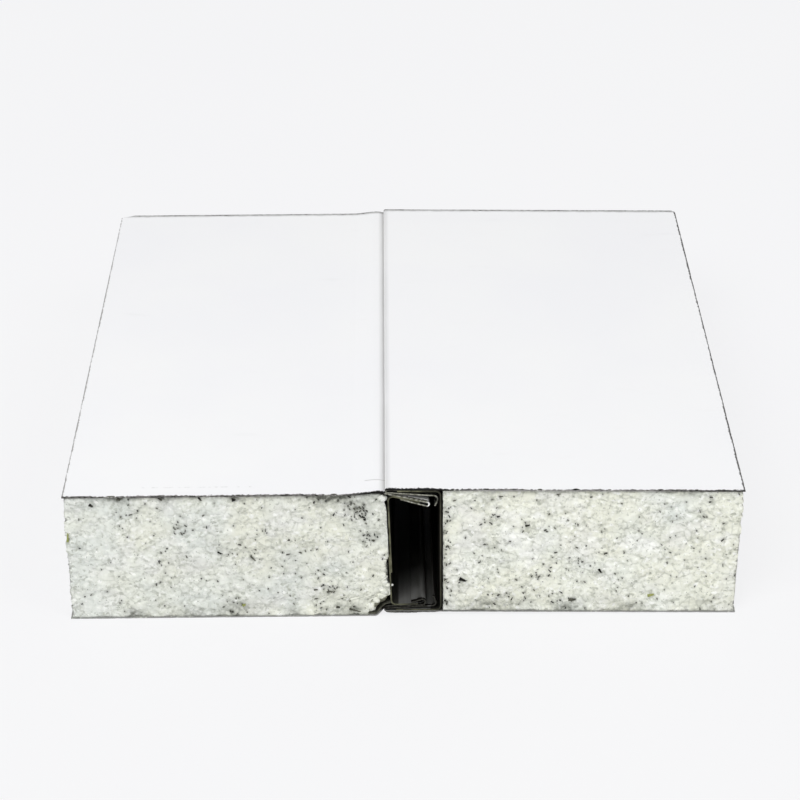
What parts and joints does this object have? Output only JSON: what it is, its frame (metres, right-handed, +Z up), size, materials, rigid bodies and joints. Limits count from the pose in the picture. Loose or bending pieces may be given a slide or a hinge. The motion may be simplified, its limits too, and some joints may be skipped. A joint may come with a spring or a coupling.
{
  "type": "insulated sandwich panel joint",
  "caption": "Two short lengths of foam-cored sandwich panel with white sheet skins, snapped together at hooked and hemmed edges around a hollow duct.",
  "frame": {"origin": "centre of the underside, on the level floor that the sample lies on", "axes": "+X across the joint from the male to the female panel, +Y along the joint away from the front cut, +Z up through the panel's thickness"},
  "size_m": [0.236, 0.236, 0.0519],
  "materials": {
    "bead_foam": "matte, cut bead foam",
    "white_paint": "semi-gloss white",
    "bare_sheet": "dull bare sheet"
  },
  "bodies": {
    "root": {"left_core": "bead_foam", "left_top_skin": "white_paint", "left_bottom_skin": "white_paint", "left_upper_angle": "bare_sheet", "left_lower_angle": "bare_sheet", "right_core": "bead_foam", "right_top_skin": "white_paint", "right_bottom_skin": "white_paint", "right_duct_wall": "bare_sheet"}
  },
  "joints": []
}
